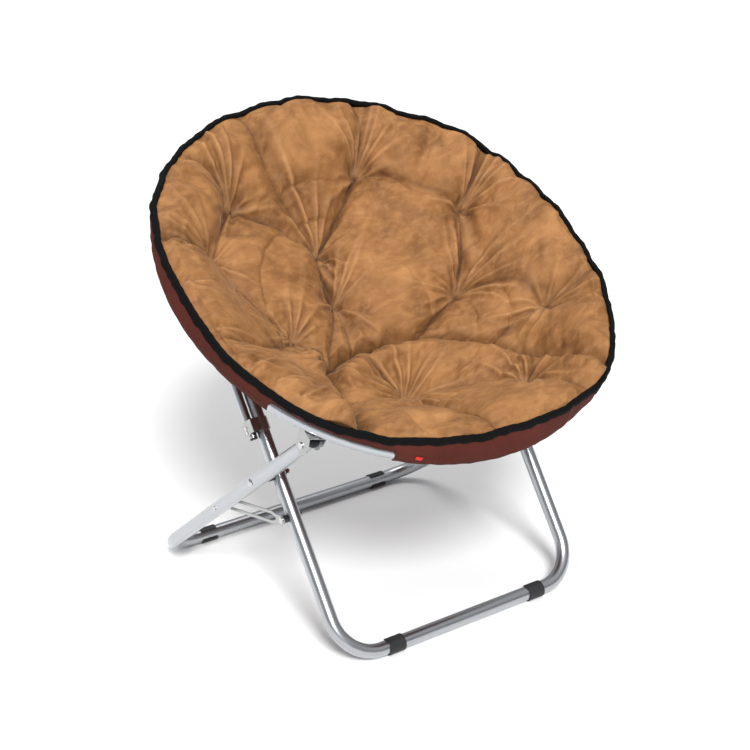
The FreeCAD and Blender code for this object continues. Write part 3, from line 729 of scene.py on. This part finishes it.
def strip(name, rows, mat, closed=False, smooth=True):
    """Surface through rows of points in seat coordinates, each row an (m, 3) array."""
    P = np.concatenate(rows)
    m = len(rows[0])
    fl = []
    last = len(rows) if closed else len(rows) - 1
    for i in range(last):
        a, b = i * m, ((i + 1) % len(rows)) * m
        for j in range(m - 1):
            fl.append((a + j, b + j, b + j + 1, a + j + 1))
    o = mesh_from(name, world(P[:, 0], P[:, 1], P[:, 2]), fl)
    o.data.materials.append(mat)
    if smooth:
        o.data.polygons.foreach_set("use_smooth", [True] * len(o.data.polygons))
    return o


def thick(o, t, offset=0.0):
    s = o.modifiers.new("t", "SOLIDIFY")
    s.thickness = t * MM
    s.offset = offset
    s.use_even_offset = True
    return apply_mods(o)


def area_of(o):
    a = np.empty(len(o.data.polygons))
    o.data.polygons.foreach_get("area", a)
    return float(a.sum())


SOFT = []


def soft(o, flat=True, ride="seat"):
    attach(o, ride)
    if flat:
        tuple(world(0, 0, 12.0))
        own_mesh(o)
    SOFT.append(o)
    return o


def cover_bowl():
    """Brown cloth bowl under the cushion, pieced from gores, out to the ring's inside."""
    prof = np.array([(0, -191.5), (40, -190.5), (90, -186), (150, -173.5), (200, -159), (250, -136), (300, -104), (335, -73), (360, -44), (376, -20), (385, -3), (389.5, 8)], float)
    rr = np.concatenate([[2.0], np.linspace(22, 389.5, 46)])
    hh = np.interp(rr, prof[:, 0], prof[:, 1])
    na = 360
    rows = []
    for i in range(na):
        a = 2 * math.pi * i / na
        seam = abs(((math.degrees(a) + 22.5) % 45) - 22.5)
        dip = 2.2 * math.exp(-(seam / 0.9) ** 2)
        s = rr / 390.0
        wob = 1.6 * np.sin(9 * a + 2 * np.sin(3 * a) + 4 * s) * s * (1 - s) * 4 + 0.9 * np.sin(23 * a + 9 * s + 1.0) * s**2
        pucker = 0.8 * np.sin(rr / 4.2 + i * 0.3) * math.exp(-(seam / 2.6) ** 2)
        n = hh - 1.2 + (dip + wob + pucker) * np.clip((1 - s) * 9, 0, 1)
        rows.append(np.stack([rr * math.cos(a), rr * math.sin(a), n], 1))
    rows = [np.concatenate([[[0.0, 0.0, -192.7 + 0.0]], r[1:]]) for r in rows]
    o = strip("seat_cover_bowl", rows, M_BROWN, closed=True)
    bm = bmesh.new()
    bm.from_mesh(o.data)
    bmesh.ops.remove_doubles(bm, verts=bm.verts, dist=1e-6)
    bm.to_mesh(o.data)
    bm.free()
    area = area_of(o)
    thick(o, 1.0, 0.0)
    soft(o)
    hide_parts("seat_cover")
    return o


def sleeve(name, a0, a1, node):
    """Sewn tube of the cover that the ring passes through."""
    na = int(abs(a1 - a0) * (2.4))
    t = np.radians(np.linspace(0, 360, 33))
    rows = []
    for i in range(na + 1):
        a = math.radians(a0 + (a1 - a0) * i / na)
        endk = min(i, na - i) / na * abs(a1 - a0)
        flare = 0.7 * math.exp(-(endk / 0.8) ** 2)
        r = 12.1 + flare + 0.35 * np.sin(47 * a + 3 * np.cos(t)) + 0.3 * np.sin(91 * a + 2 * t) * np.sin(6 * a)
        # it hangs a little looser underneath
        r = r + 0.9 * np.clip(-np.sin(t), 0, 1) ** 2 * (1 + 0.5 * math.sin(37 * a))
        R = 400.0 + r * np.cos(t)
        rows.append(np.stack([R * math.cos(a), R * math.sin(a), r * np.sin(t)], 1))
    o = strip(name, rows, M_BROWN)
    area = area_of(o)
    thick(o, 0.9, 0.0)
    soft(o, flat=False)
    if node:
        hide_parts(node)
    return o


def band():
    """Brown band from the ring up to the bound edge, all the way round."""
    na = 900
    rows = []
    m = 15
    for i in range(na):
        A = -180 + 360.0 * i / na
        a = math.radians(A)
        er, en = float(edge_r(A)), float(edge_n(A))
        hang = sleeve_cover(A)                 # 1 where the sleeve is, 0 over the bare ring
        rb, nb = 412.9 * hang + 408.0 * (1 - hang), -1.0 * hang + 12.5 * (1 - hang)
        s = np.linspace(0, 1, m)
        R = rb + (er + 2.6 - rb) * s
        n = nb + (en - 1.0 - nb) * s
        # it bellies outward and gathers at the bound edge
        belly = 3.2 * np.sin(math.pi * s ** 0.8) * min(1.0, (en - nb) / 26.0)
        g = math.sin(67 * a + 2 * math.sin(5 * a)) * 0.8 + math.sin(113 * a + 1.3) * 0.5
        seam = -1.1 * np.exp(-((s - 0.34) / 0.045) ** 2)
        gather = seam + 0.8 * g * np.sin(math.pi * np.clip(s * 0.9 + 0.12, 0, 1))
        over = math.exp(-((A + 46) / 17.0) ** 2)
        R = R + belly + gather + 5.0 * over * np.sin(math.pi * s) 
        rows.append(np.stack([R * math.cos(a), R * math.sin(a), n], 1))
    o = strip("edge_band", rows, M_BROWN, closed=True)
    area = area_of(o)
    thick(o, 0.9, 0.0)
    soft(o)
    return o, area


SLEEVES = ((-119.8, -60.2), (-29.7, 209.7))


def sleeve_cover(A):
    """1 over a sleeve, 0 over the bare ring, with a short step between."""
    A = (A + 180) % 360 - 180
    k = 0.0
    for a0, a1 in SLEEVES:
        for off in (-360, 0, 360):
            lo, hi = a0 + off, a1 + off
            k = max(k, min(1.0, max(0.0, (A - lo + 0.5) / 1.0)) * min(1.0, max(0.0, (hi - A + 0.5) / 1.0)))
    return k


def binding():
    na = 1300
    rows = []
    t = np.radians(np.linspace(0, 360, 21))
    for i in range(na):
        A = -180 + 360.0 * i / na
        a = math.radians(A)
        er, en = float(edge_r(A)), float(edge_n(A))
        ph = 0.9 * math.sin(61 * a) + 0.7 * math.sin(97 * a + 2.0)
        w = 6.7 + 0.35 * ph + 0.25 * math.sin(150 * a)
        h = 4.9 + 0.25 * math.sin(127 * a + 1.0)
        tilt = math.radians(64 + 7 * math.sin(9 * a + 0.4) + 4 * math.sin(23 * a))
        # flat tape folded over the edge: a rounded strip with a stitched groove
        cu, cv = np.cos(t), np.sin(t)
        u = w * np.sign(cu) * np.abs(cu) ** 0.75
        q = h * np.sign(cv) * np.abs(cv) ** 0.8
        q = q - 0.5 * np.sign(cv) * np.exp(-((u + w * 0.45) / 1.1) ** 2)
        R = er + u * math.cos(tilt) * -1 + q * math.sin(tilt)
        n = en + u * math.sin(tilt) + q * math.cos(tilt)
        R = R + 0.5 * ph + 0.8
        rows.append(np.stack([R * math.cos(a), R * math.sin(a), n], 1))
    o = strip("edge_binding_tape", rows, M_BIND, closed=True)
    bm = bmesh.new()
    bm.from_mesh(o.data)
    bmesh.ops.remove_doubles(bm, verts=bm.verts, dist=1e-6)
    bmesh.ops.recalc_face_normals(bm, faces=bm.faces)
    bm.to_mesh(o.data)
    bm.free()
    soft(o)
    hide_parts("edge_binding")
    return o


def ribbon():
    """Small bare tag sewn into the sleeve's lower edge."""
    A = math.radians(-114.6)
    rows = []
    for i in range(13):
        s = (i / 12 - 0.5) * 11.0
        a = A + s / 414.0
        row = []
        for j in range(7):
            q = j / 6
            row.append(((413.9 + 0.5 * math.sin(3 * q) + 0.25 * math.sin(s * 0.5)) * math.cos(a), (413.9 + 0.5 * math.sin(3 * q) + 0.25 * math.sin(s * 0.5)) * math.sin(a), 14.5 - 7.5 * q))
        rows.append(np.array(row))
    o = strip("red_tag_ribbon", rows, M_TAG)
    thick(o, 0.6, 0.0)
    soft(o, flat=False)
    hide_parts("tag")
    return o


pad = seat_cushion()
soft(pad)
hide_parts("seat_cushion")
cover_bowl()
tag = ribbon()
sleeve("ring_sleeve_cloth_front", SLEEVES[0][0], SLEEVES[0][1], "ring_sleeve_front")
sleeve("ring_sleeve_cloth_rear", SLEEVES[1][0], SLEEVES[1][1], "ring_sleeve_rear")
bind = binding()
bnd, barea = band()


# ------------------------------------------------------------------ stage
def stage():
    bm = bmesh.new()
    bmesh.ops.create_grid(bm, x_segments=8, y_segments=8, size=14.0)
    me = bpy.data.meshes.new("floor")
    bm.to_mesh(me)
    bm.free()
    o = bpy.data.objects.new("floor", me)
    SC.collection.objects.link(o)
    m, nt, b = new_mat("floor")
    oc = obj_coord(nt)
    link(nt, ramp(nt, tex_noise(nt, oc, 3.0, 3.0).outputs["Fac"], [(0.3, (0.90, 0.90, 0.90)), (0.7, (0.93, 0.93, 0.93))]).outputs["Color"], b.inputs["Base Color"])
    b.inputs["Roughness"].default_value = 0.75
    b.inputs["Specular IOR Level"].default_value = 0.1
    me.materials.append(m)

    w = bpy.data.worlds.new("world")
    SC.world = w
    w.use_nodes = True
    nt = w.node_tree
    bg = nt.nodes["Background"]
    tc = nt.nodes.new("ShaderNodeTexCoord")
    sep = nt.nodes.new("ShaderNodeSeparateXYZ")
    link(nt, tc.outputs["Generated"], sep.inputs[0])
    up = math_node(nt, "MULTIPLY_ADD", sep.outputs["Z"], 0.5)
    up.node.inputs[2].default_value = 0.5
    r = ramp(nt, up, [(0.40, (0.60, 0.61, 0.62)), (0.50, (0.20, 0.205, 0.215)), (0.60, (0.34, 0.35, 0.37)), (0.78, (0.80, 0.81, 0.83)), (1.0, (0.95, 0.95, 0.95))])
    link(nt, r.outputs["Color"], bg.inputs["Color"])
    bg.inputs["Strength"].default_value = 0.60

    sun = bpy.data.lights.new("sun", "SUN")
    sun.energy, sun.angle = 3.5, math.radians(15)
    so = bpy.data.objects.new("sun", sun)
    SC.collection.objects.link(so)
    so.rotation_euler = (-Vector((-0.75, -1.55, 1.45))).to_track_quat("-Z", "Y").to_euler()

    def area(name, loc, target, size, power, size_y=None, color=(1, 1, 1)):
        l = bpy.data.lights.new(name, "AREA")
        l.energy = power
        l.color = color
        l.shape = "RECTANGLE"
        l.size, l.size_y = size, size_y or size
        o = bpy.data.objects.new(name, l)
        SC.collection.objects.link(o)
        o.location = loc
        o.rotation_euler = (Vector(target) - Vector(loc)).to_track_quat("-Z", "Y").to_euler()

    area("key", (-1.7, -2.0, 3.2), (0, 0, 0.4), 1.1, 20.0, 1.1, (1.0, 0.985, 0.96))
    area("top", (0.5, 1.2, 3.6), (0, 0, 0.4), 2.0, 34.0, 1.2)
    area("left", (-3.0, 0.4, 1.3), (0, 0, 0.4), 0.7, 3.0, 2.4, (0.95, 0.97, 1.0))


stage()
SC.view_settings.view_transform = "Standard"
SC.view_settings.look = "None"
SC.view_settings.exposure = 0.0
SC.view_settings.gamma = 1.0
